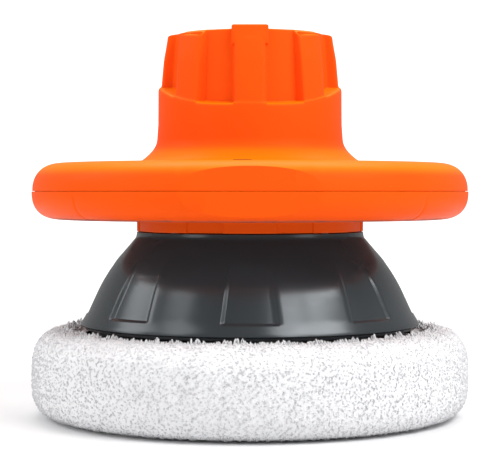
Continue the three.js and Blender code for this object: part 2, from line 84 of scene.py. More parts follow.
def make_camera():
    """The product camera, on the front side of the motor's axis."""
    data = bpy.data.cameras.new("product_camera")
    data.sensor_width = 36.0
    data.lens = LENS
    data.clip_start = 0.01
    camera = bpy.data.objects.new("product_camera", data)
    camera.location = (0.0, -EYE_DISTANCE, EYE_HEIGHT)
    camera.rotation_euler = (math.pi / 2 - LOOK_DOWN, 0.0, 0.0)
    bpy.context.scene.collection.objects.link(camera)
    bpy.context.scene.camera = camera
    return camera


camera = make_camera()
print("camera at", tuple(round(v, 3) for v in camera.location), "lens", camera.data.lens)

# %% [markdown]
# A catalogue set: a white floor, an even white surround, and large softboxes, whose edges show as soft
# shapes in the glossy bell. The plain Standard view keeps the saturated orange, where a filmic one greys it.

# %% Floor, surround and softboxes
FLOOR_RADIUS = 0.62
FLOOR_SIDES = 96
FLOOR_Z = -0.0002
SOFTBOX_AIM = Vector((0.0, 0.0, 0.09))
SOFTBOXES = (  # name, place, width and height in metres, watts
    ("right", (0.38, -0.60, 0.80), (0.3, 0.4), 2.6),
    ("far_right", (0.62, -0.33, 0.80), (0.45, 0.4), 4.6),
    ("left", (-0.61, -0.36, 0.80), (0.3, 0.4), 1.1),
    ("far_left", (-0.82, 0.07, 0.67), (0.4, 0.5), 2.2),
    ("low_left", (-0.76, -0.53, 0.30), (0.35, 0.3), 1.8),
    ("low_right", (0.76, -0.53, 0.30), (0.35, 0.3), 1.4),
    ("back", (0.0, 0.44, 1.00), (0.9, 0.4), 7.0),
)


def make_floor():
    """A pale, matt disc just under the work face."""
    mesh = bpy.data.meshes.new("floor")
    angle = np.arange(FLOOR_SIDES) * 2 * math.pi / FLOOR_SIDES
    rim = np.stack([np.cos(angle) * FLOOR_RADIUS, np.sin(angle) * FLOOR_RADIUS, 0 * angle + FLOOR_Z], -1)
    mesh.from_pydata(rim, [], [range(FLOOR_SIDES)])
    floor = bpy.data.objects.new("floor", mesh)
    bpy.context.scene.collection.objects.link(floor)
    paint = bpy.data.materials.new("floor_paint")
    paint.use_nodes = True
    shader = paint.node_tree.nodes["Principled BSDF"]
    shader.inputs["Base Color"].default_value = (0.86, 0.86, 0.865, 1.0)
    shader.inputs["Roughness"].default_value = 0.9
    shader.inputs["Specular IOR Level"].default_value = 0.0
    mesh.materials.append(paint)
    floor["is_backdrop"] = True


def softbox(name, place, size, watts):
    """A white rectangular area light at place, facing the middle of the object."""
    data = bpy.data.lights.new(name, "AREA")
    data.shape = "RECTANGLE"
    data.size, data.size_y = size
    data.energy = watts
    lamp = bpy.data.objects.new(name, data)
    lamp.location = place
    lamp.rotation_euler = (Vector(place) - SOFTBOX_AIM).to_track_quat("Z", "Y").to_euler()
    bpy.context.scene.collection.objects.link(lamp)


def make_surround(strength, backdrop):
    """An even white surround of that strength, which the camera itself sees as a brighter backdrop."""
    world = bpy.data.worlds.new("studio")
    world.use_nodes = True
    nodes, links = world.node_tree.nodes, world.node_tree.links
    ray = nodes.new("ShaderNodeLightPath")
    mix = nodes.new("ShaderNodeMix")
    mix.inputs["A"].default_value = strength
    mix.inputs["B"].default_value = backdrop
    links.new(ray.outputs["Is Camera Ray"], mix.inputs["Factor"])
    background = nodes["Background"]
    background.inputs["Color"].default_value = (1.0, 1.0, 1.0, 1.0)
    links.new(mix.outputs["Result"], background.inputs["Strength"])
    bpy.context.scene.world = world


make_floor()
make_surround(0.36, 1.3)
for label, *values in SOFTBOXES:
    softbox("softbox_" + label, *values)
bpy.context.scene.view_settings.view_transform = "Standard"

# %% [markdown]
# Nearly everything outside is a turned shape with something changed round the axis. Each is a grid of
# points: rows follow an outline, columns go round. A station of an outline may hold arrays over the
# columns, so flutes and flats are part of the surface instead of being cut into it. Rounding each corner
# with a parabola gives the small radii that moulded parts have, and that catch the light.

# %% Grids into meshes


def unit(vectors):
    """The vectors at length 1."""
    return vectors / (np.linalg.norm(vectors, axis=-1, keepdims=True) + 1e-9)


def rounded(angle, steps, *points):
    """Rows of an outline through (radius, height, cut) stations, whose values may be arrays over angle.

    A corner P with a cut becomes a parabola from A, which is cut before it, to B, which is cut past it:
    (1-t)^2 A + 2t(1-t) P + t^2 B, in that many steps. A cut of 0 keeps the corner.
    """
    corners = np.array([np.stack(np.broadcast_arrays(r, z, angle)[:2], -1) for r, z, cut in points], float)
    cuts = [point[2] for point in points]
    rows = [corners[0][None]]
    t = np.linspace(0, 1, steps)[:, None, None]
    for before, here, after, cut in zip(corners[:-2], corners[1:-1], corners[2:], cuts[1:-1]):
        if cut == 0:
            rows.append(here[None])
            continue
        start, end = (here + unit(way) * np.minimum(cut, 0.45 * np.linalg.norm(way, axis=-1, keepdims=True))
                      for way in (before - here, after - here))
        rows.append((1 - t) ** 2 * start + 2 * t * (1 - t) * here + t ** 2 * end)
    rows.append(corners[-1][None])
    return np.concatenate(rows)


def whole_turn(count):
    """That many evenly spaced angles round the axis, in radians."""
    return np.arange(count) * 2 * math.pi / count


def turned(outline, angle, axis_y=0.0):
    """Points (rows, columns, 3) from radius and height: x = r cos a, y = axis_y + r sin a, z = height."""
    radius, height = outline[..., 0], outline[..., 1]
    return np.stack([radius * np.cos(angle), axis_y + radius * np.sin(angle), height], -1)


def columns_round(count, edges=(), spread=1.2, extra=5):
    """Angles round the axis in radians: count evenly spaced, and a few more within spread degrees of each
    edge, so that a step there is sharp."""
    even = np.arange(count) * 360 / count
    near = [edge + np.linspace(-spread, spread, extra) for edge in edges]
    degrees = np.sort(np.mod(np.concatenate([even, *near]), 360))
    apart = np.diff(degrees, append=degrees[0] + 360) > 0.12
    return np.radians(degrees[apart])


def link(name, mesh):
    """A new object with that mesh, in the scene."""
    piece = bpy.data.objects.new(name, mesh)
    bpy.context.scene.collection.objects.link(piece)
    return piece


def grid_piece(name, grid, start_pole=None, end_pole=None):
    """A closed mesh from a grid of points in millimetres, (rows, columns, 3).

    Columns join up round the axis. Rows either run from one pole to the other, each closed with a fan,
    or, with no poles, join up too. The map is the grid itself: across by column, up by distance.
    """
    rows, columns, _ = grid.shape
    index = np.arange(rows * columns).reshape(rows, columns)
    steps = np.linalg.norm(np.diff(grid, axis=0), axis=2).mean(1)
    looped = start_pole is None
    if looped:
        index = np.vstack([index, index[:1]])
        steps = np.append(steps, np.linalg.norm(grid[0] - grid[-1], axis=1).mean())
    else:
        ends = [np.linalg.norm(grid[i] - pole, axis=1).mean()
                for i, pole in ((0, start_pole), (-1, end_pole))]
        steps = np.concatenate([[ends[0]], steps, [ends[1]]])
    height = np.concatenate([[0], np.cumsum(steps)]) / steps.sum()
    v = height if looped else height[1:-1]
    u = np.arange(columns + 1) / columns
    here, there = index[:-1], index[1:]
    quads = np.stack([here, np.roll(here, -1, 1), np.roll(there, -1, 1), there], -1).reshape(-1, 4)
    u0, v0 = np.meshgrid(u[:-1], v[:-1])
    u1, v1 = np.meshgrid(u[1:], v[1:])
    quad_map = np.stack([u0, v0, u1, v0, u1, v1, u0, v1], -1).reshape(-1, 4, 2)
    points = grid.reshape(-1, 3)
    faces, maps = quads.tolist(), [quad_map.reshape(-1, 2)]
    if not looped:
        first, last = rows * columns, rows * columns + 1
        points = np.vstack([points, start_pole, end_pole])
        low = np.stack([np.full(columns, first), np.roll(index[0], -1), index[0]], -1)
        high = np.stack([np.full(columns, last), index[-1], np.roll(index[-1], -1)], -1)
        faces += low.tolist() + high.tolist()
        middle = (u[:-1] + u[1:]) / 2
        low_map = np.stack([middle, 0 * middle, u[1:], v[0] + 0 * middle, u[:-1], v[0] + 0 * middle], -1)
        high_map = np.stack([middle, 1 + 0 * middle, u[:-1], v[-1] + 0 * middle,
                             u[1:], v[-1] + 0 * middle], -1)
        maps += [low_map.reshape(-1, 2), high_map.reshape(-1, 2)]
    a, b, c, d = (points[quads[:, k]] for k in range(4))
    volume = (np.einsum("ij,ij->i", a, np.cross(b, c)) + np.einsum("ij,ij->i", a, np.cross(c, d))).sum()
    mesh = bpy.data.meshes.new(name)
    mesh.from_pydata(points * MM, [], faces)
    layer = mesh.uv_layers.new(name="OFBake")
    layer.uv.foreach_set("vector", np.concatenate(maps).astype(np.float32).ravel())
    if volume < 0:
        mesh.flip_normals()
    mesh.shade_smooth()
    return link(name, mesh)


# %% [markdown]
# Air slots, screw wells and the switch's hole are cut with Blender's manifold boolean. It is fast and keeps
# the body closed, and writing them into the grid would need a far finer one.

# %% Cutting and joining


def block(low, high, bevel=0.0):
    """A box between two corners in millimetres, its edges rounded by bevel."""
    work = bmesh.new()
    bmesh.ops.create_cube(work, size=1.0)
    size = (Vector(high) - Vector(low)) * MM
    middle = (Vector(high) + Vector(low)) / 2 * MM
    place = Matrix.Translation(middle) @ Matrix.Diagonal((*size, 1))
    bmesh.ops.transform(work, matrix=place, verts=work.verts)
    if bevel:
        bmesh.ops.bevel(work, geom=work.edges[:], offset=bevel * MM, segments=3, profile=0.5,
                        affect="EDGES", clamp_overlap=True)
    return work


def drum(radius, low, high, x=0.0, y=0.0, sides=32, lying=False):
    """A cylinder from low to high along Z at x, y, or along Y at the height y when lying."""
    work = bmesh.new()
    bmesh.ops.create_cone(work, cap_ends=True, segments=sides, radius1=radius * MM, radius2=radius * MM,
                          depth=(high - low) * MM)
    middle = (high + low) / 2
    place = Matrix.Translation(Vector((x, y, middle)) * MM)
    if lying:
        place = Matrix.Translation(Vector((x, middle, y)) * MM) @ Matrix.Rotation(math.pi / 2, 4, "X")
    bmesh.ops.transform(work, matrix=place, verts=work.verts)
    return work


def turn(work, degrees):
    """The same shape turned about Z."""
    bmesh.ops.transform(work, matrix=Matrix.Rotation(math.radians(degrees), 4, "Z"), verts=work.verts)
    return work


def combine(piece, operation, shapes):
    """Joins each shape to the piece, or cuts it away."""
    for shape in shapes:
        mesh = bpy.data.meshes.new("tool")
        shape.to_mesh(mesh)
        shape.free()
        tool = link("tool", mesh)
        modifier = piece.modifiers.new("combine", "BOOLEAN")
        modifier.operation = operation
        modifier.solver = "MANIFOLD"
        modifier.object = tool
        made = bpy.data.meshes.new_from_object(piece.evaluated_get(bpy.context.evaluated_depsgraph_get()))
        piece.modifiers.clear()
        old, piece.data = piece.data, made
        bpy.data.meshes.remove(old)
        bpy.data.objects.remove(tool)
        bpy.data.meshes.remove(mesh)
    return piece


# Painted top light: the orange is made paler and yellower where the normal's height passes these.
TOP_LIGHT_FROM, TOP_LIGHT_TO = 0.42, 0.85  # heights of the normal where facing up starts and is complete


def store_painted_top_light(mesh):
    """Stores how far each corner of the mesh faces up, 0 to 1, as the attribute "upward": a smooth step
    of the normal's height, t * t * (3 - 2 t), where t goes from 0 to 1 between the two heights."""
    # This mask serves as painted top light, which the orange finish reads.
    normals = np.empty(len(mesh.loops) * 3, np.float32)
    mesh.corner_normals.foreach_get("vector", normals)
    t = np.clip((normals[2::3] - TOP_LIGHT_FROM) / (TOP_LIGHT_TO - TOP_LIGHT_FROM), 0, 1)
    layer = mesh.attributes.new("painted_top_light", "FLOAT", "CORNER")
    layer.data.foreach_set("value", t * t * (3 - 2 * t))


def finished(piece, body, finish, slot, *nodes, crease=40):
    """Shades the piece smooth up to a crease angle, gives it its finish, and puts it in the frame."""
    piece.data.shade_smooth()
    piece.data.set_sharp_from_angle(angle=math.radians(crease))
    piece.data.name = piece.name
    piece.data.materials.clear()
    piece.data.materials.append(finish)
    # Stores the mask of the painted top light on every piece; only the orange finish reads it.
    store_painted_top_light(piece.data)
    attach(piece, body)
    if nodes:
        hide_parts(*nodes)
    piece.data.calc_loop_triangles()
    print(piece.name, "triangles", len(piece.data.loop_triangles))
    return piece


# %% [markdown]
# Value wraps a socket and overloads the operators, so an expression such as 1 - mask * 0.3 adds its own
# Math nodes, and shader maths reads as arithmetic. Finish holds one material and makes any other node.

# %% Shader arithmetic


class Value:
    """A number that varies over a surface: a shader socket with arithmetic."""

    def __init__(self, finish, socket):
        self.finish, self.socket = finish, socket

    def math(self, operation, *values):
        """A Math node with that operation on the values."""
        return self.finish.node("ShaderNodeMath", {"operation": operation}, dict(enumerate(values)))

    def __add__(self, other):
        return self.math("ADD", self, other)

    def __sub__(self, other):
        return self.math("SUBTRACT", self, other)

    def __rsub__(self, other):
        return self.math("SUBTRACT", other, self)

    def __mul__(self, other):
        return self.math("MULTIPLY", self, other)

    __radd__, __rmul__ = __add__, __mul__

    def root(self):
        """The square root."""
        return self.math("SQRT", self)

    def clipped(self, low, high):
        """0 below low, 1 above high, smooth between them."""
        return self.finish.node("ShaderNodeMapRange", {"interpolation_type": "SMOOTHSTEP", "clamp": True},
                                {"Value": self, "From Min": low, "From Max": high})


class Finish:
    """One procedural material, with its patterns in object coordinates."""

    def __init__(self, name, **constants):
        self.material = bpy.data.materials.new(name)
        self.material.use_nodes = True
        self.tree = self.material.node_tree
        self.shader = self.tree.nodes["Principled BSDF"]
        for label, value in constants.items():
            self.shader.inputs[label.replace("_", " ")].default_value = value
        self.place = self.node("ShaderNodeTexCoord", {}, {}, "Object")

    def join(self, socket, value):
        """Links a Value to the socket, or sets the socket to a constant."""
        if isinstance(value, Value):
            self.tree.links.new(value.socket, socket)
        elif isinstance(value, (tuple, list)) and len(value) == 3 and socket.type == "RGBA":
            socket.default_value = (*value, 1.0)
        else:
            socket.default_value = value

    def node(self, kind, settings, sockets, output=0):
        """A node of that kind. Its settings are set first, then its sockets get values or links."""
        made = self.tree.nodes.new(kind)
        for label, value in settings.items():
            setattr(made, label, value)
        for label, value in sockets.items():
            self.join(made.inputs[label], value)
        return Value(self, made.outputs[output])

    def noise(self, size_mm, detail=3.0, stretch=(1.0, 1.0, 1.0), roughness=0.5):
        """Soft noise from 0 to 1 with features of that size."""
        scaled = self.node("ShaderNodeMapping", {}, {"Vector": self.place, "Scale": stretch})
        return self.node("ShaderNodeTexNoise", {}, {"Vector": scaled, "Scale": 1 / (size_mm * MM),
                                                    "Detail": detail, "Roughness": roughness})

    def cells(self, size_mm):
        """Distance to the nearest of many scattered points, in cells of that size."""
        return self.node("ShaderNodeTexVoronoi", {},
                         {"Vector": self.place, "Scale": 1 / (size_mm * MM)}, "Distance")

    def coordinates(self):
        """X, Y and Z in metres."""
        split = self.node("ShaderNodeSeparateXYZ", {}, {"Vector": self.place}).socket.node
        return [Value(self, output) for output in split.outputs]

    def mix(self, factor, a, b):
        """Colour a where factor is 0 and b where it is 1."""
        made = self.tree.nodes.new("ShaderNodeMix")
        made.data_type = "RGBA"
        self.join(made.inputs[0], factor)
        self.join(made.inputs[6], a)
        self.join(made.inputs[7], b)
        return Value(self, made.outputs[2])

    def finish(self, colour, roughness, height=None, depth_mm=0.1, strength=1.0):
        """Connects colour and roughness, and a height that shades as relief of that depth."""
        self.join(self.shader.inputs["Base Color"], colour)
        self.join(self.shader.inputs["Roughness"], roughness)
        if height is not None:
            relief = self.node("ShaderNodeBump", {}, {"Height": height, "Distance": depth_mm * MM,
                                                      "Strength": strength})
            self.join(self.shader.inputs["Normal"], relief)
        return self.material


# %% [markdown]
# Moulded plastic is a spark-eroded grain with a slow drift in colour and gloss and a few fine rubs. The
# orange is satin, and its highlights stay orange, so its reflection is tinted. Metals have a drawn or
# ground direction. All are procedural, since an image would need a map that follows each piece's seams.

# %% Finishes


def moulded(name, colour, roughness, grain_mm=0.35, grain=0.02, drift=0.1, **constants):
    """Moulded plastic: fine grain, slow drift of shade, and faint rubs that are smoother."""
    f = Finish(name, **constants)
    cloud = f.noise(38, 2)
    rubs = f.noise(2.2, 4, (0.16, 1.0, 1.0)).clipped(0.58, 0.72)
    dark = tuple(v * (1 - drift) for v in colour)
    light = tuple(min(1.0, v * (1 + drift)) for v in colour)
    shade = f.mix(cloud, dark, light)
    gloss = roughness + (cloud - 0.5) * 0.08 + f.noise(1.1, 2) * 0.04 - rubs * 0.05
    return f.finish(shade, gloss, f.noise(grain_mm, 3), grain)


def shell_orange():
    """Orange plastic, paler and yellower where it faces up as painted top light, with a dark painted shade
    under the ring that is also rougher.

    The painted shade fades out from 84 to 96 mm off the axis, where noise frays its edge. It fades in at a
    height of 86.6 to 87 mm and out at 87.9 to 88.8 mm, so it stays off the neck and the ring's side.
    """
    f = Finish("orange_plastic", Specular_IOR_Level=0.06, Specular_Tint=(1.0, 0.5, 0.1, 1.0))
    x, y, z = f.coordinates()
    # Painted shade under the ring: a dark grey-brown mask, which also makes the surface rougher.
    fray = (f.noise(7, 4) - 0.5) * 0.012
    near = 1 - ((x * x + y * y).root() + fray).clipped(0.084, 0.096)
    painted_shade_under_ring = near * (1 - z.clipped(0.0879, 0.0888)) * z.clipped(0.0866, 0.0870) * 0.85
    cloud, rubs = f.noise(38, 2), f.noise(2.2, 4, (0.16, 1.0, 1.0)).clipped(0.58, 0.72)
    # Painted top light: the orange is mixed towards a paler, yellower orange where the surface faces up.
    painted_top_light = f.node("ShaderNodeAttribute", {"attribute_name": "painted_top_light"}, {}, "Fac")
    orange_colour = f.mix(cloud, (0.90, 0.088, 0.006), (0.96, 0.100, 0.008))
    orange_colour = f.mix(painted_top_light * (0.85 + cloud * 0.3), orange_colour, (0.96, 0.19, 0.003))
    gloss = 0.4 + (cloud - 0.5) * 0.08 + f.noise(1.1, 2) * 0.04 - rubs * 0.05 + painted_shade_under_ring * 0.4
    # The dark grey-brown mixed in here is painted shade under the ring.
    return f.finish(f.mix(painted_shade_under_ring, orange_colour, (0.11, 0.088, 0.085)), gloss, f.noise(0.35, 3), 0.012)


def metal(name, colour, roughness, stretch=(1.0, 1.0, 12.0), grain_mm=0.8, grain=0.012, stain=0.25):
    """Metal with a drawn or ground direction, and faint darker stains."""
    f = Finish(name, Metallic=1.0)
    drawn = f.noise(grain_mm, 4, stretch)
    stains = f.noise(9, 3).clipped(0.5, 0.8)
    dull = tuple(v * (1 - stain) for v in colour)
    shade = f.mix(stains * 0.7 + drawn * 0.3, colour, dull)
    return f.finish(shade, roughness + drawn * 0.12 + stains * 0.1, drawn, grain)


FINISHES = {
    "orange_plastic": shell_orange(),
    "black_plastic": moulded("black_plastic", (0.030, 0.036, 0.040), 0.2, grain=0.006, drift=0.15,
                             Specular_IOR_Level=0.56, Specular_Tint=(0.9, 0.96, 1.0, 1.0)),
    "black_rubber": moulded("black_rubber", (0.02, 0.02, 0.021), 0.7, 0.5, 0.05),
    "black_nylon": moulded("black_nylon", (0.026, 0.026, 0.028), 0.5, 0.5, 0.04, 0.2),
    "nylon": moulded("nylon", (0.66, 0.63, 0.58), 0.5, 0.6, 0.03),
    "switch_black": moulded("switch_black", (0.014, 0.014, 0.016), 0.3, 0.25, 0.02, 0.2),
    "zinc_casting": metal("zinc_casting", (0.5, 0.5, 0.52), 0.42, (1, 1, 1), 1.4, 0.06),
    "plated_steel": metal("plated_steel", (0.5, 0.5, 0.5), 0.28),
    "bearing_steel": metal("bearing_steel", (0.6, 0.6, 0.62), 0.16, (1, 1, 20), 0.4, 0.006, 0.1),
    "spring_steel": metal("spring_steel", (0.4, 0.4, 0.42), 0.3, (1, 1, 6), 0.3),
    "screw_steel": metal("screw_steel", (0.55, 0.55, 0.55), 0.25, (1, 1, 3), 0.4, 0.01),
    "sintered_bronze": metal("sintered_bronze", (0.55, 0.38, 0.18), 0.45, (1, 1, 1), 0.3, 0.05),
    "brass": metal("brass", (0.72, 0.52, 0.2), 0.28, (8, 1, 1), 0.5),
    "copper": metal("copper", (0.62, 0.24, 0.1), 0.28, (1, 1, 14), 0.5, 0.03),
}
print("finishes", len(FINISHES))

# %% [markdown]
# Both shells share the two-hand ring: an oval section turned round the axis, with flat faces cut on its
# front and back. The flats are written into the section: wherever the oval would pass the flat's plane,
# it starts where the oval meets that plane, so the mesh has an edge exactly along the flat's border. A
# boolean cut would leave long thin faces there. The shells meet in a tongue and groove, which keeps light
# from shining through the gap.

# %% Two-hand ring
lower_low, lower_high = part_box("lower_housing")
upper_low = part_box("upper_housing")[0]
RIM_R = lower_high.x / MM
FLAT_Y = lower_high.y / MM
SEAM = 0.1  # half the gap between the shells
PARTING_Z = upper_low.z / MM - 0.15  # the CAD upper shell starts 0.15 mm above the parting plane
CREST_R = RIM_R - 13.5  # radius of the ring's highest and lowest circle
RING_RISE = 12.6
RING_DROP = 12.5
TOP_FULLNESS = 2.3  # power of the oval above and below the parting plane; 2 is an ellipse
BASE_FULLNESS = 2.5
SHELL_WALL = 2.5
STEP = 0.3  # how far the lower shell stands proud of the upper one at the parting line
print("rim radius", round(RIM_R, 2), "flats at", round(FLAT_Y, 2), "parting", round(PARTING_Z, 2))


def ring_rows(angle, reach, rise, flat, count):
    """Rows of the oval from the parting plane to its crest, a superellipse of power n:

    r = crest + reach (cos t)^(2/n), z = parting + rise (sin t)^(2/n). t runs from where the oval meets the
    flat's plane, at radius flat / |sin angle|, to a right angle.
    """
    power = 2 / (TOP_FULLNESS if rise > 0 else BASE_FULLNESS)
    limit = flat / np.maximum(np.abs(np.sin(angle)), 1e-6)
    share = np.clip((limit - CREST_R) / reach, 0, 1) ** (1 / power)
    start = np.maximum(np.arccos(share), math.radians(3))
    t = start + (math.pi / 2 - start) * np.linspace(0, 1, count)[:, None] ** 1.2
    radius = np.minimum(CREST_R + reach * np.maximum(np.cos(t), 0) ** power, limit)
    return np.stack([radius, PARTING_Z + rise * np.sin(t) ** power], -1)


# %% [markdown]
# The upper shell carries the motor dome. Eight ribs stand between flutes. On a rib the radius is the
# rib's own; beside it the wall runs parallel to the rib's centre line, which in polar form is the half
# width divided by the sine of the angle; between ribs it is the flute's floor. Smooth minimum and
# maximum round the edges, where added ribs would leave sharp seams.

# %% Upper shell
RIB_HALF_WIDTH = 6.8
RIB_ANGLES = np.arange(8) * 45.0
LEDGE_FRONT_Z = 137.5
LEDGE_RISE = 8.6
RIB_TOP_FRONT_Z = 166.1
RIB_TOP_RISE = 3.7
CROWN_R = 34.0
CROWN_Z = 170.2
DOME_TOP = 171.2


def soft_min(a, b, k):
    """The smaller of a and b, with the corner where they cross rounded over a width of about k."""
    return (a + b - np.sqrt((a - b) ** 2 + k * k)) / 2


def fluted(angle, height):
    """Radius of the fluted dome at each angle and height."""
    rib = np.interp(height, [137, 158.8, 166, 170], [40.75, 38.8, 37.5, 36.9])
    floor = np.interp(height, [137, 170], [35.5, 33.6])
    offset = np.abs(np.sin((np.degrees(angle) + 22.5) % 45 * math.pi / 180 - math.pi / 8))
    wall = RIB_HALF_WIDTH / np.maximum(offset, 0.02)
    return -soft_min(-floor, -soft_min(rib, wall, 1.7), 1.0)


def upper_shell_grid():
    """The shell's grid of points, from the pole inside the dome to the one on top of it."""
    edges = [rib + side * gap for rib in RIB_ANGLES for side in (-1, 1) for gap in (10.3, 11.5)]
    angle = columns_round(264, edges, 0.9, 7)
    sideways = np.cos(angle) ** 2
    ledge = LEDGE_FRONT_Z + LEDGE_RISE * sideways ** 2
    flat_inside = FLAT_Y - SHELL_WALL
    inner = ring_rows(angle, RIM_R - CREST_R - SHELL_WALL, RING_RISE - SHELL_WALL, flat_inside, 6)
    inner = inner[:1:-1]  # from the crest down, without the rows where the seam's groove is
    inside = rounded(angle, 4, (12, 167.6, 0), (31.2, 167.2, 2), (32.8, 136.5, 1), (38.8, 133.5, 1),
            (39, 120, 4), (45.5, 111.8, 3), (54, 108.8, 3), (66, 109, 0))
    oval = ring_rows(angle, RIM_R - STEP - CREST_R, RING_RISE, FLAT_Y - STEP, 26)
    seam_r = oval[0, :, 0]
    seam = rounded(angle, 4, (seam_r - 2.2, PARTING_Z + 1.5, 0), (seam_r - 0.8, PARTING_Z + 1.5, 0),
            (seam_r - 0.8, PARTING_Z + SEAM, 0), (seam_r, PARTING_Z + SEAM, 0.2),
            (seam_r, PARTING_Z + 0.62, 0))
    deck = rounded(angle, 6, (CREST_R - 1.5, PARTING_Z + RING_RISE - 0.03, 0), (76, 111.7, 3),
            (66, 111.0, 4), (55.5, 111.4, 4), (48.6, 113.8, 2.4), (44.0, 118.0, 2.4), (42, 121.5, 2),
            (41.4, 130, 0), (41.3, ledge, 1.5), (fluted(angle, ledge + 0.9) + 0.02, ledge + 0.9, 0.7),
            (fluted(angle, ledge + 3), ledge + 3, 0))
    climb = np.linspace(0, 1, 13)[1:-1, None]
    top = fluted(angle, 168.0)
    on_rib = np.clip((top - 33.9) / 3.2, 0, 1)
    rib_top = RIB_TOP_FRONT_Z + RIB_TOP_RISE * sideways
    corner_z = CROWN_Z - 0.3 + (rib_top - CROWN_Z + 0.3) * on_rib
    heights = ledge + 3 + (corner_z - 2.2 - ledge - 3) * climb
    wall = np.stack([fluted(angle[None], heights), heights], -1)
    crown = rounded(angle, 5, (fluted(angle, corner_z - 1.8), corner_z - 1.8, 0),
            (fluted(angle, corner_z), corner_z, 1.2), (np.minimum(top, CROWN_R + 0.8) - 0.9, CROWN_Z, 0.6),
            (28, 170.8, 2), (12, DOME_TOP - 0.05, 0))
    outline = np.concatenate([inside, inner, seam, oval[1:], deck, wall, crown])
    return turned(outline, angle)


def inlet_hole():
    """The cutter of the cord inlet's hole through the back of both shells."""
    return drum(6.8, 80, 100, 0, PARTING_Z, 48, lying=True)


SWITCH_Y = -66.0
upper = grid_piece("upper_shell", upper_shell_grid(), (0, 0, 167.6), (0, 0, DOME_TOP))
tabs = [block((-7.95, -37.2, 163), (7.95, -30, 171.7), 0.9)]
tabs += [turn(block((-5.9, -36.4, 165), (5.9, -31, 169.4), 0.5), a) for a in (45, 135, 225, 315)]
combine(upper, "UNION", tabs + [block((-11.5, SWITCH_Y - 9, 109.5), (11.5, SWITCH_Y + 9, 111.75), 0.4)])
slots = [turn(block((11, -1.2, 160), (27, 1.2, 180), 0.5), a) for a in range(0, 360, 30)]
combine(upper, "DIFFERENCE", slots + [
    inlet_hole(), block((-8.8, SWITCH_Y - 6.5, 100), (8.8, SWITCH_Y + 6.5, 116), 0.8)])
finished(upper, "housing", FINISHES["orange_plastic"], "orange_plastic", "upper_housing")

# %% [markdown]
# The lower shell closes the ring from below and carries the neck, a short collar with eight low pads above
# the bell. Its grip zones at the two sides are bounded by a fine groove. The rows run once
# round the wall and meet again, because this shell is open in the middle.

# %% Lower shell
NECK_R = 50.5
NECK_PAD_R = 51.1
NECK_BOTTOM = lower_low.z / MM
SHROUD_R = 41.5
GRIP_ANGLE = 48.0  # from the front and from the back


def lower_shell_grid():
    """The shell's grid of points, once round its wall from the top of the fan shroud."""
    pads = [rib + side * 13 for rib in RIB_ANGLES for side in (-1, 1)]
    grips = [270 - GRIP_ANGLE, 270 + GRIP_ANGLE, 90 - GRIP_ANGLE, 90 + GRIP_ANGLE]
    angle = columns_round(300, pads, 0.5, 5)
    angle = np.unique(np.concatenate([angle, np.radians(
        np.concatenate([g + np.linspace(-1.2, 1.2, 9) for g in grips]))]))
    angle = angle[np.diff(angle, append=angle[0] + 2 * math.pi) > 0.0012]
    degrees = np.degrees(angle)
    from_rib = np.abs((degrees + 22.5) % 45 - 22.5)
    neck = NECK_R + (NECK_PAD_R - NECK_R) * (1 - np.clip((from_rib - 12.8) / 0.4, 0, 1))
    flat_inside = FLAT_Y - SHELL_WALL
    inner = ring_rows(angle, RIM_R - CREST_R - SHELL_WALL, SHELL_WALL - RING_DROP, flat_inside, 6)
    oval = ring_rows(angle, RIM_R - CREST_R, -RING_DROP, FLAT_Y, 26)[::-1]
    to_grip = np.min([np.abs(degrees - g) for g in grips], axis=0)
    groove = 0.28 * np.exp(-(to_grip / 0.42) ** 2) * np.clip((PARTING_Z - 1 - oval[..., 1]) / 1.5, 0, 1)
    oval[..., 0] -= groove
    oval[..., 1] += groove
    seam_r = oval[-1, :, 0]
    bore = rounded(angle, 4, (SHROUD_R, 96.7, 0), (SHROUD_R, NECK_BOTTOM, 0.5), (neck, NECK_BOTTOM, 0.4),
            (neck, 86.9, 0.5), (60, 87.1, 0), (CREST_R - 1.5, PARTING_Z - RING_DROP + 0.03, 0))
    seam = rounded(angle, 4, (seam_r, PARTING_Z - 0.62, 0), (seam_r, PARTING_Z - SEAM, 0.2),
            (seam_r - 1.4, PARTING_Z - SEAM, 0), (seam_r - 1.4, PARTING_Z + 1.2, 0),
            (seam_r - 2.4, PARTING_Z + 1.2, 0))
    hollow = rounded(angle, 3, (CREST_R - 2, 90, 0), (SHROUD_R + SHELL_WALL, 90, 1),
            (SHROUD_R + SHELL_WALL, 96.7, 0))
    return turned(np.concatenate([bore, oval[:-1], seam, inner[1:], hollow]), angle)


lower = grid_piece("lower_shell", lower_shell_grid())
SCREW_R = 76.0  # from the axis to the housing screws
BOSS_R, WELL_R, HOLE_R = 6, 4.2, 1.9
screw_places = [(SCREW_R * math.cos(math.radians(a)), SCREW_R * math.sin(math.radians(a)))
                for a in range(0, 360, 60)]
combine(lower, "UNION", [drum(BOSS_R, 88.5, 99.5, x, y) for x, y in screw_places])
combine(lower, "DIFFERENCE", [drum(WELL_R, 80, 93, x, y) for x, y in screw_places])
combine(lower, "DIFFERENCE", [drum(HOLE_R, 92, 101, x, y, 12) for x, y in screw_places])
combine(lower, "DIFFERENCE", [inlet_hole()])
finished(lower, "housing", FINISHES["orange_plastic"], "orange_plastic", "lower_housing")

# %% [markdown]
# The bell skirt is turned, with eight panels pressed into it. A panel is narrow at the top and wide at
# the bottom, so its columns lean with it: a column's angle is a function of its height. The panel's
# depth fades out towards the collar and ends in a step above the flange. Under the flange a narrow
# lip, set back, ends just above the bonnet. Straight columns would cut a panel's slanted sides into steps.

# %% Bell skirt
BELL_WALL = 3.0
PANEL_WALL = 2.0  # width of a panel's sloping side wall
bell_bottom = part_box("bell_skirt")[0].z / MM


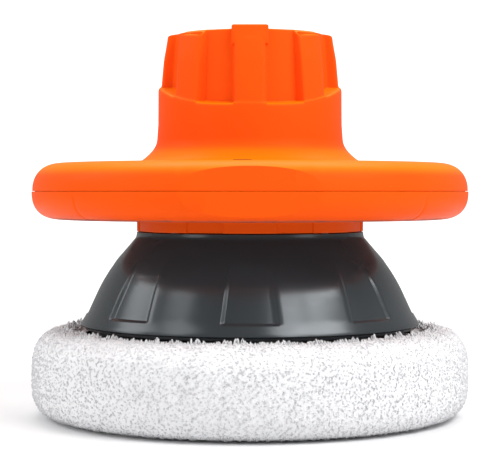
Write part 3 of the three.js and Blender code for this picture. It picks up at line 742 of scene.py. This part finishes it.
def bell_outline():
    """Outside of the bell from its collar to its flange, rounded, as radius and height."""
    one = np.zeros(1)
    corners = rounded(one, 12, (51.1, 81.7, 0), (51.35, 79.5, 0.8), (55.9, 74.1, 4), (61.9, 67.3, 5),
            (67.1, 59.1, 5), (71.0, 50.8, 4), (73.6, 45.2, 2), (75.9, 41.4, 0.8), (76.2, 40.6, 0))
    return corners[:, 0]


def bell_grid():
    """The bell's grid: outside rows lean with the panels, inside rows are plain."""
    outline = bell_outline()[::-1]
    heights = np.concatenate([np.linspace(40.6, 44.4, 7), np.linspace(44.7, 46.3, 9),
                              np.linspace(46.8, 78.4, 52), np.linspace(78.8, 81.7, 6)])[::-1]
    radius = np.interp(heights, outline[:, 1], outline[:, 0])[:, None]
    z = heights[:, None]
    half = 7.3 + 1.8 * (79 - z) / 34
    edge = np.degrees(PANEL_WALL / radius) / 2
    share = np.concatenate([np.linspace(0, 1, 9), 1 + np.linspace(0, 1, 9)[1:], 2 + np.linspace(0, 1, 9)[1:]])
    share = np.concatenate([-share[::-1], share[1:]])[:-1]
    size = np.abs(share)[None]
    inner, outer = half - edge, half + edge
    away = np.where(size < 1, size * inner, np.where(
        size < 2, inner + (size - 1) * (outer - inner), outer + (size - 2) * (22.5 - outer)))
    away = away * np.sign(share)[None]
    angle = np.concatenate([away + rib for rib in RIB_ANGLES - 90], axis=1)
    depth = np.interp(heights, [44.9, 45.9, 58, 63, 67, 70], [0, 1.0, 0.95, 0.7, 0.3, 0])[:, None]
    wall = np.clip(2 - size, 0, 1)
    profile = 0.75 * np.clip(wall * 1.1 - 0.05, 0, 1) + 0.25 * wall * wall * (3 - 2 * wall)
    recess = np.tile(depth * profile, (1, 8))
    outside = turned(np.stack(np.broadcast_arrays(radius - recess, z), -1), np.radians(angle))
    plain = np.radians(angle[-1])
    inside = [(r - BELL_WALL, h, 0) for r, h in ((76.2, 42.2), (73.6, 47), (67.1, 59.1), (61.9, 67.3))]
    rest = rounded(plain, 4, (76.2, 40.6, 0), (75.9, 40.15, 0.3), (74.7, 40.1, 0.3),
            (74.5, bell_bottom, 0.3), (72.6, bell_bottom, 0.3), *inside, (48.8, 79.3, 1), (40, 79.3, 0),
            (40, 81.8, 0), (50.8, 81.8, 0))
    return np.concatenate([outside, turned(rest[1:], plain)])


bell = grid_piece("bell", bell_grid())
finished(bell, "housing", FINISHES["black_plastic"], "black_plastic", "bell_skirt", crease=48)

# %% [markdown]
# The bonnet is one disc of looped terry, pulled over the foam by an elastic in its hem. As a surface it
# is a closed thin shell: an outline from the middle of the work face, round the foam, over the shoulder
# and into the hem. Gathers are slow waves that grow towards the hem, since a cloth simulation would give
# looser folds than a tight elastic leaves. The pile is a field of knobs, one in each cell of a jittered
# grid. Under the bell the fabric is held down, so that the pad can orbit and turn there.

# %% Terry bonnet
PAD_Y = round(sum(corner.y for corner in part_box("bonnet")) / 2 / MM, 2)
BONNET_COLUMNS = 700
BELL_SWEEP_R = 81.5  # from the motor's axis: the bell's rim and 5 mm of room
FABRIC_CEILING_Z = 38.25  # height the fabric keeps under the bell
FABRIC_FLOOR_Z = 0.02
START_R = 2.0  # radius of the outline's first row, which a fan of triangles closes


def knobs(across, along, cell, seed):
    """Height from 0 to 1 of a pile of round knobs: one at a random place in each cell, of random height.

    For each point, the highest of the nine nearest knobs: top * sqrt(1 - (distance / reach)^2).
    """
    columns = int(round(across.max() / cell)) + 1
    table = np.random.default_rng(seed).random((3, 4096))
    i, j = np.floor(across / cell).astype(int), np.floor(along / cell).astype(int)
    best = np.zeros(across.shape)
    for di in (-1, 0, 1):
        for dj in (-1, 0, 1):
            ci, cj = (i + di) % columns, j + dj
            key = (ci * 73 + cj * 1259) % 4096
            x = (i + di + table[0][key]) * cell
            y = (j + dj + table[1][key]) * cell
            near = 1 - ((across - x) ** 2 + (along - y) ** 2) / (0.95 * cell) ** 2
            best = np.maximum(best, (0.45 + 0.55 * table[2][key]) * np.sqrt(np.maximum(near, 0)))
    return best


def waves(angle, lowest, highest, seed, falling=1.0):
    """A smooth random wave round the axis: a sum of cosines with random phases, scaled to about 1."""
    draw = np.random.default_rng(seed)
    orders = np.arange(lowest, highest + 1)
    phases = draw.random(len(orders)) * 2 * math.pi
    sizes = draw.normal(size=len(orders)) / orders ** (falling / 2)
    total = (sizes[:, None] * np.cos(orders[:, None] * angle + phases[:, None])).sum(0)
    return total / np.abs(total).max()


def bonnet_outside(angle):
    """Rows from the work face over the shoulder to the hem, before the pile: radius and height."""
    plain = rounded(angle, 7, (START_R, 0.9, 0), (84, 0.9, 0), (89.5, 1.4, 3), (94.0, 3.8, 3),
            (96.3, 8.2, 3), (96.9, 14, 4), (96.9, 26, 5), (95.2, 32.4, 3.5), (91.0, 36.9, 3),
            (85.6, 38.5, 3), (81.6, 37.9, 2), (79.6, 36.6, 2), (76.6, 35.2, 0))
    length = np.concatenate([[0], np.cumsum(np.linalg.norm(np.diff(plain[:, 0], axis=0), axis=1))])
    face = np.linspace(0, 82, 28)
    fine = np.arange(83, length[-1], 0.78)
    at = np.append(np.concatenate([face, fine]), length[-1])
    radius = np.interp(at, length, plain[:, 0, 0])[:, None] + 0 * angle
    height = np.interp(at, length, plain[:, 0, 1])[:, None] + 0 * angle
    return np.stack([radius, height], -1), at[:, None] + 0 * angle


def gathered(outline, angle):
    """Adds the gathers: waves that grow over the shoulder towards the hem, and slow slackness."""
    r, z = outline[..., 0], outline[..., 1]
    over = np.clip((z - 27) / 9, 0, 1) ** 2
    hem = np.clip((86 - r) / 9, 0, 1) * (z > 30)
    folds = waves(angle, 22, 46, 3, 0.4)
    slack = waves(angle, 2, 7, 5)
    lift = over * (0.45 * folds + 0.5 * slack) + 0.35 * hem * waves(angle, 50, 90, 9, 0.2)
    side = np.clip((z - 3) / 6, 0, 1) * np.clip((38 - z) / 8, 0, 1)
    out = side * (0.35 * slack + 0.16 * waves(angle, 12, 30, 8, 0.5)) + 0.5 * hem * folds
    return np.stack([r + out, z + lift], -1)


def normals(points):
    """Normals of a grid of points, from its own differences."""
    return unit(np.cross(np.roll(points, -1, 1) - np.roll(points, 1, 1), np.gradient(points, axis=0)))


def with_pile(points, knob, depth):
    """The points moved along the surface's normals by the knobs."""
    return points + normals(points) * (knob * depth)[..., None]


def bonnet_grid():
    """The bonnet's grid: the outside with its gathers and pile, then the plain inside."""
    angle = whole_turn(BONNET_COLUMNS)
    outline, along = bonnet_outside(angle)
    outline = gathered(outline, angle)
    around = outline[..., 0] * 0 + angle * 96.0
    knob = knobs(around, along, 1.55, 21) * 0.75 + knobs(around, along + 400, 0.95, 22) * 0.35
    fuzzy = np.clip(outline[..., 0] / 30 - 0.4, 0, 1)
    outside = with_pile(turned(outline, angle, PAD_Y), knob * fuzzy, 0.45)
    x, y, z = np.moveaxis(outside, -1, 0)
    z = np.where(np.hypot(x, y) < BELL_SWEEP_R, np.minimum(z, FABRIC_CEILING_Z), z)
    outside[..., 2] = np.maximum(z, FABRIC_FLOOR_Z)
    inner = rounded(angle, 3, (76.9, 34.9, 0), (80.6, 34.6, 0.4), (86.4, 34.4, 2), (90.5, 29.6, 3),
            (90.5, 9.8, 3), (88.4, 5.7, 2), (84.2, 3.6, 1), (8, 3.6, 0))
    return np.concatenate([outside, turned(inner, angle, PAD_Y)])


def terry_finish(name, low, high, gap_shade):
    """White cotton: colour low on the side, colour high over the shoulder as painted top light, painted shade
    in the gaps between loops, a soft sheen.
    """
    f = Finish(name, Sheen_Weight=0.2, Sheen_Roughness=0.6, Specular_IOR_Level=0.1)
    loops = f.cells(1.1)
    fine = f.noise(0.45, 3, roughness=0.6)
    # Painted shade in the gaps between loops, from the cell edges and fine noise.
    gap = loops.clipped(0.45, 0.8) * 0.6 + fine.clipped(0.5, 0.8) * 0.4
    # Painted top light: the cotton is made lighter over the shoulder, from a height of 28 to 36 mm.
    painted_shoulder_light = (f.coordinates()[2] + (f.noise(9, 3) - 0.5) * 0.006).clipped(0.028, 0.036)
    tone = 0.92 + f.noise(14, 2) * 0.12
    yarn = f.mix(painted_shoulder_light, low, high)
    shade = f.mix(gap * gap_shade, yarn, tuple(v * 0.85 for v in low))
    shade = f.mix(tone.clipped(0.9, 1.06), tuple(v * 0.95 for v in low), shade)
    return f.finish(shade, 0.9, (1 - loops) * 0.7 + fine * 0.5, 0.4, 0.8)


# Painted light: the shell, seen in the gaps between loops, is a lighter white than the loops, to offset the
# shade there.
FINISHES["terry"] = terry_finish("terry", (0.86, 0.865, 0.88), (0.95, 0.965, 0.98), 0.2)
FINISHES["yarn"] = terry_finish("yarn", (0.71, 0.713, 0.732), (0.93, 0.945, 0.96), 0.15)
bonnet = grid_piece("terry_bonnet", bonnet_grid(), (0, PAD_Y, 0.9), (0, PAD_Y, 3.6))
finished(bonnet, "pad", FINISHES["terry"], "terry", "bonnet", crease=180)

# %% [markdown]
# The nap is made of real loops of yarn, since its edge against the black bell makes it read as terry.
# Knobs can't overhang, and hair would need far more geometry. Each loop is an arch of three-sided tube,
# turned at random. There are five pieces, from the work face to the crest, where loops stand in tufts.

# %% Loops of yarn
LOOP_SPAN = 1.0  # between a loop's feet
YARN_R = 0.32
SIDE_R = 92  # radius that sets how many loops go round the side
GOLDEN_ANGLE = math.radians(137.50776)
PAD_SWEEP_R = 80.3  # a loop nearer the pad's axis than this comes under the bell as the pad turns
LOOP_CEILING_Z = 38.4


def band_places(low_at, high_at, cell, draw):
    """Angles and distances along the outline in a band of the side: one random place in each cell."""
    columns, rows = round(2 * math.pi * SIDE_R / cell), round((high_at - low_at) / cell)
    column, row = np.meshgrid(np.arange(columns), np.arange(rows))
    angle = (column.ravel() + draw.random(column.size)) / columns * 2 * math.pi
    return angle, low_at + (high_at - low_at) * (row.ravel() + draw.random(column.size)) / rows


def disc_places(low_at, high_at, cell, draw):
    """Angles and distances over the flat work face, as seeds sit in a sunflower: the k-th at the angle
    k * 137.5 degrees and the distance high * sqrt(k / count), each a little off its place."""
    count = int(math.pi * high_at ** 2 / cell ** 2)
    k = np.arange(count)
    at = high_at * np.sqrt((k + draw.random(count)) / count)
    angle = k * GOLDEN_ANGLE + draw.normal(size=count) * 1.1 * cell / np.maximum(at, 1)
    return angle[at > low_at] % (2 * math.pi), at[at > low_at] - START_R


def loop_seats(angle, at, draw):
    """Points on the bonnet at those angles and distances, with their normals and one direction along the
    surface, each (count, 3)."""
    count = len(angle)
    table_angle = whole_turn(BONNET_COLUMNS)
    outline, along = bonnet_outside(table_angle)
    outline = gathered(outline, table_angle)
    surface = turned(outline, table_angle, PAD_Y)
    column = np.round(angle / (2 * math.pi) * BONNET_COLUMNS).astype(int) % BONNET_COLUMNS
    row = np.clip(np.searchsorted(along[:, 0], at), 1, len(along) - 1)
    share = ((at - along[row - 1, 0]) / (along[row, 0] - along[row - 1, 0]))[:, None]
    point = surface[row - 1, column] * (1 - share) + surface[row, column] * share
    slide = (surface[row, (column + 1) % BONNET_COLUMNS] - surface[row, column])
    point = point + slide * (draw.random(count)[:, None] - 0.5)
    out = normals(surface)[row, column]
    turn_ = draw.random(count)[:, None] * 2 * math.pi
    side = unit(slide)
    across = side * np.cos(turn_) + np.cross(out, side) * np.sin(turn_)
    return point, out, across


def loop_tubes(point, out, across, loop_rise, tufts, draw):
    """Five rings of three points along each loop, (count, 5, 3, 3).

    A loop's middle line is P + T span (s - 1/2) + N rise sin(pi s), and it leans to its side by a share of
    sin(pi s). Waves round the pad make the loops taller and shorter in tufts.
    """
    count = len(point)
    size = 0.75 + 0.5 * draw.random((count, 1, 1))
    lean = draw.normal(size=(count, 1, 1)) * 0.35
    around_axis = np.arctan2(point[:, 1] - PAD_Y, point[:, 0])
    size *= 1 + tufts * waves(around_axis, 20, 75, 61, 0.2)[:, None, None]
    s = np.linspace(0, 1, 5)[None, :, None]
    side = np.cross(across, out)[:, None]
    rise = np.sin(math.pi * s)
    middle = (point[:, None] + across[:, None] * LOOP_SPAN * size * (s - 0.5)
              + out[:, None] * (loop_rise * size * rise - 0.25) + side * lean * rise)
    inward = np.cross(unit(np.gradient(middle, axis=1)), side)
    around = whole_turn(3)[None, None, :, None]
    ring = side[:, :, None] * np.cos(around) + inward[:, :, None] * np.sin(around)
    tube = middle[:, :, None] + ring * YARN_R * (0.8 + 0.2 * size[..., None])
    x, y, z = np.moveaxis(tube, -1, 0)
    tube[..., 2] = np.where(np.hypot(x, y - PAD_Y) < PAD_SWEEP_R, np.minimum(z, LOOP_CEILING_Z),
                            np.maximum(z, FABRIC_FLOOR_Z))
    return tube


def tubes_mesh(name, tube):
    """One mesh of closed tubes from their rings, each mapped to its own cell of a square grid."""
    count = len(tube)
    base = (np.arange(count) * 15)[:, None, None]
    i, j = np.arange(4)[None, :, None] * 3, np.arange(3)[None, None]
    a, b = base + i + j, base + i + (j + 1) % 3
    quads = np.stack([a, b, b + 3, a + 3], -1).reshape(-1, 4)
    caps = np.concatenate([base[:, 0] + [[2, 1, 0]], base[:, 0] + [[12, 13, 14]]])
    mesh = bpy.data.meshes.new(name)
    mesh.from_pydata(tube.reshape(-1, 3) * MM, [], quads.tolist() + caps.tolist())
    wide = int(math.ceil(math.sqrt(count)))
    corner = np.stack([np.arange(count) % wide, np.arange(count) // wide], -1)[:, None, None, None] / wide
    u = np.stack(np.broadcast_arrays(j, j + 1, j + 1, j, i)[:4], -1) / 3
    v = np.stack(np.broadcast_arrays(i, i, i + 3, i + 3, j)[:4], -1) / 12
    quad_map = corner + np.stack([u, v], -1) * 0.86 / wide
    cap = np.array([[0, 0.93], [0.05, 0.93], [0.05, 0.98]]) / wide
    cap_map = np.tile(corner[:, 0, 0, 0][:, None] + cap, (2, 1, 1))
    both = np.concatenate([quad_map.reshape(-1, 2), cap_map.reshape(-1, 2)])
    mesh.uv_layers.new(name="OFBake").uv.foreach_set("vector", both.astype(np.float32).ravel())
    mesh.shade_smooth()
    return mesh


def loops_piece(name, places, low_at, high_at, cell, loop_rise, tufts, seed):
    """The yarn loops between two distances along the outline, one to a cell, as one piece."""
    draw = np.random.default_rng(seed)
    seats = loop_seats(*places(low_at, high_at, cell, draw), draw)
    piece = link(name, tubes_mesh(name, loop_tubes(*seats, loop_rise, tufts, draw)))
    return finished(piece, "pad", FINISHES["yarn"], "terry", crease=180)


length = bonnet_outside(np.zeros(1))[1][-1, 0]
print("outline from the middle of the work face to the hem", round(START_R + length, 1), "mm")
LOOP_BANDS = (  # name, placing, from and to along the outline, cell, rise, share of tufts, seed
    ("face", disc_places, START_R, 90.0, 1.9, 0.9, 0.1, 49),
    ("low", band_places, 88.0, 108.0, 1.35, 0.8, 0.1, 51),
    ("side", band_places, 108.0, 128.0, 1.35, 0.8, 0.1, 53),
    ("shoulder", band_places, 128.0, 135.5, 1.35, 0.9, 0.15, 55),
    ("crest", band_places, 135.5, length - 3.5, 1.25, 2.0, 0.65, 57),
)
loops = [loops_piece("terry_loops_" + label, *values) for label, *values in LOOP_BANDS]

# %% [markdown]
# Foam and elastic are inside the bonnet. The foam is a turned disc with a skin of open cells. The elastic
# is a torus whose tube radius ripples as a braid does; separate strands would hardly show.

# %% Foam pad and hem elastic


def foam_finish():
    """Pale foam, darker in its pores as painted shade."""
    f = Finish("foam", Specular_IOR_Level=0.2)
    pores = f.cells(0.9)
    # Painted shade in the pores.
    shade = f.mix(pores.clipped(0.1, 0.6), (0.30, 0.27, 0.2), (0.74, 0.69, 0.57))
    return f.finish(shade, 0.95, pores, 0.5)


def elastic_finish():
    """White braid with a fine weave."""
    f = Finish("elastic", Sheen_Weight=0.2)
    strands = f.noise(0.5, 2, (1, 1, 3))
    return f.finish(f.mix(strands, (0.7, 0.7, 0.7), (0.9, 0.9, 0.9)), 0.8, strands, 0.2)


FINISHES["foam"] = foam_finish()
FINISHES["elastic"] = elastic_finish()
round_angle = whole_turn(240)
foam_outline = rounded(round_angle, 6, (4, 4.4, 0), (50, 4.1, 8), (84, 4.2, 2), (88, 6.3, 2),
        (89.8, 10, 3), (90, 18, 4), (89.6, 25, 3), (88.2, 28.6, 2), (85, 30.4, 2), (50, 30.5, 5),
        (4, 30.3, 0))
foam_grid = turned(foam_outline, round_angle, PAD_Y)
cells = knobs(foam_outline[..., 0] * 0 + round_angle * 88, foam_outline[..., 1] * 2, 1.6, 31)
foam = grid_piece("foam_cushion", with_pile(foam_grid, -cells, 0.25), (0, PAD_Y, 4.4), (0, PAD_Y, 30.3))
finished(foam, "pad", FINISHES["foam"], "foam", "foam_pad", crease=180)


def braid_grid(ring_r, tube_r, height):
    """A torus whose tube radius ripples where two sets of strands cross: cos(m a + 2 b) + cos(m a - 2 b)."""
    angle = whole_turn(720)
    turn_ = whole_turn(14)[:, None]
    ripple = np.cos(180 * angle + 2 * turn_) + np.cos(180 * angle - 2 * turn_)
    tube = tube_r * (0.94 + 0.03 * ripple)
    outline = np.stack([ring_r + tube * np.cos(turn_), height + tube * np.sin(turn_)], -1)
    return turned(outline, angle, PAD_Y)


elastic = grid_piece("hem_elastic", braid_grid(79.0, 0.78, 35.2))
finished(elastic, "pad", FINISHES["elastic"], "elastic", "bonnet_elastic", crease=180)

# %% [markdown]
# The remaining CAD nodes keep their shape, which is already right, and get the finish of their slot. A few
# wiring and magnet finishes are made here because only inner pieces use them.

# %% Finishes of the inner pieces


def lead_finish(name, colour):
    """A lead's plastic insulation, a little uneven in shade."""
    f = Finish(name, Specular_IOR_Level=0.4)
    cloud = f.noise(6, 2)
    shade = f.mix(cloud, colour, tuple(v * 0.8 for v in colour))
    return f.finish(shade, 0.4 + cloud * 0.15, f.noise(0.6), 0.02)


def board_finish():
    """Green glass-fibre board with its weave."""
    f = Finish("board", Specular_IOR_Level=0.6)
    weave = f.noise(0.7, 2, (1, 6, 1)) * 0.5 + f.noise(0.7, 2, (6, 1, 1)) * 0.5
    return f.finish(f.mix(weave, (0.02, 0.11, 0.045), (0.05, 0.2, 0.09)), 0.35 + weave * 0.1, weave, 0.03)


FINISHES["red_lead"] = lead_finish("red_lead", (0.42, 0.03, 0.02))
FINISHES["blue_lead"] = lead_finish("blue_lead", (0.03, 0.08, 0.32))
FINISHES["board"] = board_finish()
FINISHES["ferrite"] = moulded("ferrite", (0.05, 0.05, 0.055), 0.6, 0.4, 0.06, 0.25)
FINISHES["carbon"] = moulded("carbon", (0.02, 0.02, 0.021), 0.65, 0.3, 0.04, 0.25)
FINISHES["capacitor_yellow"] = moulded("capacitor_yellow", (0.6, 0.43, 0.05), 0.3, 0.8, 0.02)

for part in frame["record"]["subparts"]:
    node = frame["nodes"][part["node"]]
    node.data.materials.clear()
    node.data.materials.append(FINISHES[part["material_slot"]])

# %% [markdown]
# Last, the two boxes are written for comparison: the CAD model's and this one's.

# %% Sizes and finish
visual_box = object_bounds()
for label, (low, high) in (("cad", cad_box), ("visual", visual_box)):
    print(label, [round((b - a) * 1000, 1) for a, b in zip(low, high)])
